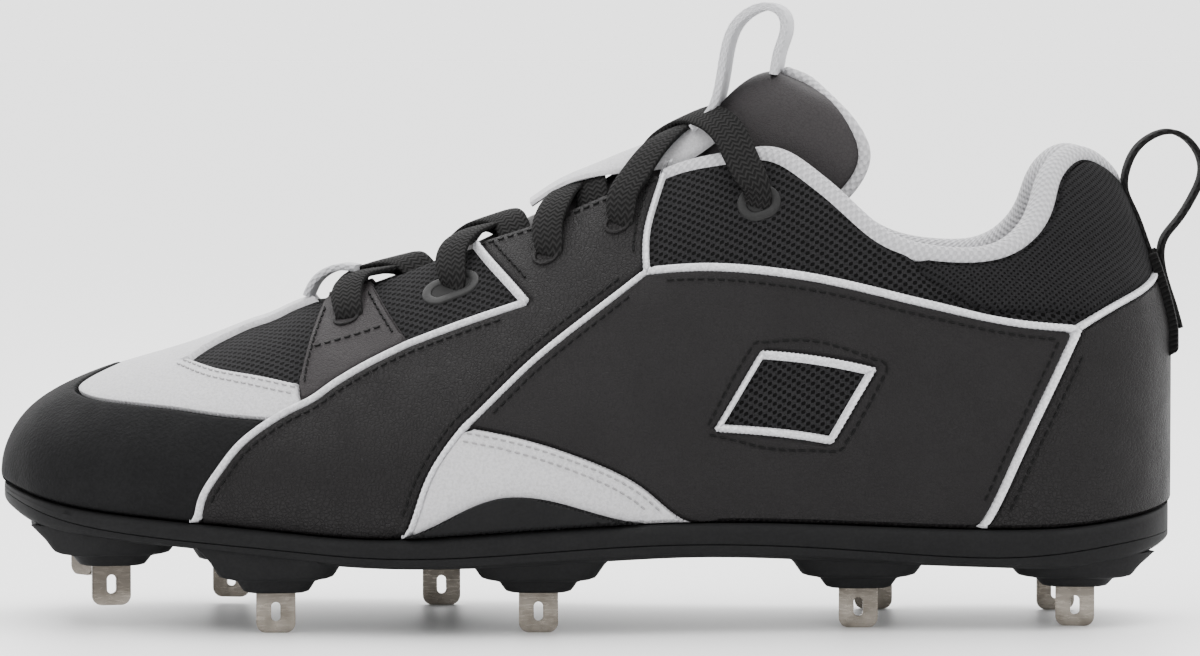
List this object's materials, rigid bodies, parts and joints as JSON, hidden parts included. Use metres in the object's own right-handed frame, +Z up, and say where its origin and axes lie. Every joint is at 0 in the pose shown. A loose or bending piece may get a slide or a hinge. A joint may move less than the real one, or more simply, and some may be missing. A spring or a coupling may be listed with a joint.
{
  "type": "baseball cleat",
  "caption": "Low-cut left baseball shoe with a mesh and leather upper, padded collar, flat laces and metal spikes under a moulded sole.",
  "frame": {"origin": "middle of the shoe's length and width, at the ground under the spikes", "axes": "+X from the toe to the heel, +Z up, -Y towards the outer side of this left shoe"},
  "size_m": [0.3016, 0.1028, 0.1539],
  "materials": {
    "mesh_fabric": "knitted mesh with rows of small holes",
    "foam": "foam footbed under smooth fabric",
    "sole_rubber": "satin moulded sole",
    "spike_metal": "worn nickel plate",
    "toe_rubber": "fine grain, matt",
    "suede": "off-white suede",
    "tab_leather": "dark grey smooth leather",
    "panel_leather": "black pebbled leather",
    "piping": "white edge piping",
    "knit": "light grey brushed knit over foam",
    "tongue_leather": "dark grey smooth leather",
    "webbing_black": "black ribbed webbing",
    "webbing_white": "white ribbed webbing",
    "eyelet_rim": "grey ring, matt",
    "lace_cord": "black flat woven lace"
  },
  "bodies": {
    "root": {"upper": "mesh_fabric", "insole": "foam", "midsole": "sole_rubber", "outsole": "sole_rubber", "spike_outer_1": "spike_metal", "spike_outer_2": "spike_metal", "spike_outer_3": "spike_metal", "spike_outer_4": "spike_metal", "spike_outer_5": "spike_metal", "spike_inner_1": "spike_metal", "spike_inner_2": "spike_metal", "spike_inner_3": "spike_metal", "spike_inner_4": "spike_metal", "spike_inner_5": "spike_metal", "toe_guard": "toe_rubber", "vamp_overlay": "suede", "arch_wedge_outer": "suede", "arch_wedge_inner": "suede", "tongue_strip": "suede", "eyelet_tab_outer": "tab_leather", "eyelet_tab_inner": "tab_leather", "saddle_outer": "panel_leather", "saddle_inner": "panel_leather", "quarter_outer": "panel_leather", "quarter_inner": "panel_leather", "heel_counter": "panel_leather", "heel_tab": "panel_leather", "piping_front_outer": "piping", "piping_front_inner": "piping", "piping_rear_outer": "piping", "piping_rear_inner": "piping", "piping_window_outer": "piping", "piping_window_inner": "piping", "collar_lining": "knit", "tongue": "tongue_leather", "heel_pull_loop": "webbing_black", "tongue_pull_loop": "webbing_white", "lace_keeper": "webbing_white", "eyelet_2_outer": "eyelet_rim", "eyelet_2_inner": "eyelet_rim", "eyelet_5_outer": "eyelet_rim", "eyelet_5_inner": "eyelet_rim", "lace_crossing_1": "lace_cord", "lace_crossing_2": "lace_cord", "lace_crossing_3": "lace_cord", "lace_crossing_4": "lace_cord"}
  },
  "joints": []
}
